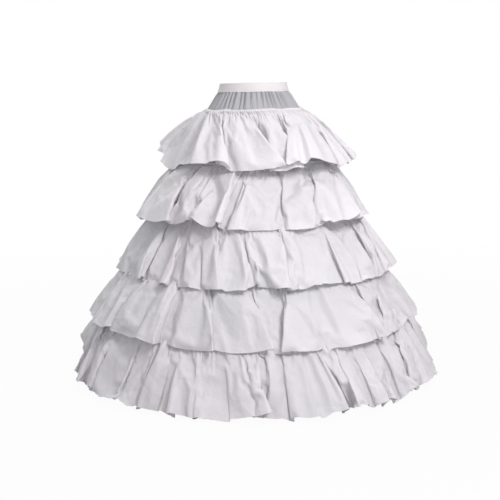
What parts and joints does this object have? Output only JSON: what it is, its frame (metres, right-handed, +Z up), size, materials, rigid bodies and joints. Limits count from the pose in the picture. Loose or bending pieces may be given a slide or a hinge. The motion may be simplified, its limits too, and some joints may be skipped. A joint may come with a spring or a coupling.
{
  "type": "hooped and ruffled petticoat",
  "caption": "Hooped petticoat (crinoline) held open as worn: elastic waist, gathered hip, conical base skirt on steel hoops, tiers of gathered ruffles.",
  "frame": {"origin": "centre of the waist opening, halfway up the elastic", "axes": "+Z up, along the wearer's body; the wearer faces -Y; +X is the wearer's left"},
  "size_m": [1.1812, 1.1812, 0.8919],
  "materials": {
    "elastic": "finely ribbed woven elastic",
    "base_cloth": "thin semi-sheer plain weave, shadowed",
    "ruffle_cloth": "thin crisp white taffeta with a soft sheen",
    "casing_tape": "matt woven tape",
    "hoop_coating": "white coated flat spring steel",
    "joiner_metal": "crimped zinc-plated sleeve"
  },
  "bodies": {
    "root": {"waist_elastic": "elastic", "gore_1": "base_cloth", "gore_2": "base_cloth", "gore_3": "base_cloth", "gore_4": "base_cloth", "ruffle_1": "ruffle_cloth", "ruffle_2": "ruffle_cloth", "ruffle_3": "ruffle_cloth", "ruffle_4": "ruffle_cloth", "ruffle_5": "ruffle_cloth", "casing_1": "casing_tape", "casing_2": "casing_tape", "casing_3": "casing_tape", "casing_4": "casing_tape", "hoop_1": "hoop_coating", "hoop_2": "hoop_coating", "hoop_3": "hoop_coating", "hoop_4": "hoop_coating", "hoop_joiner_1": "joiner_metal", "hoop_joiner_2": "joiner_metal", "hoop_joiner_3": "joiner_metal", "hoop_joiner_4": "joiner_metal"}
  },
  "joints": []
}
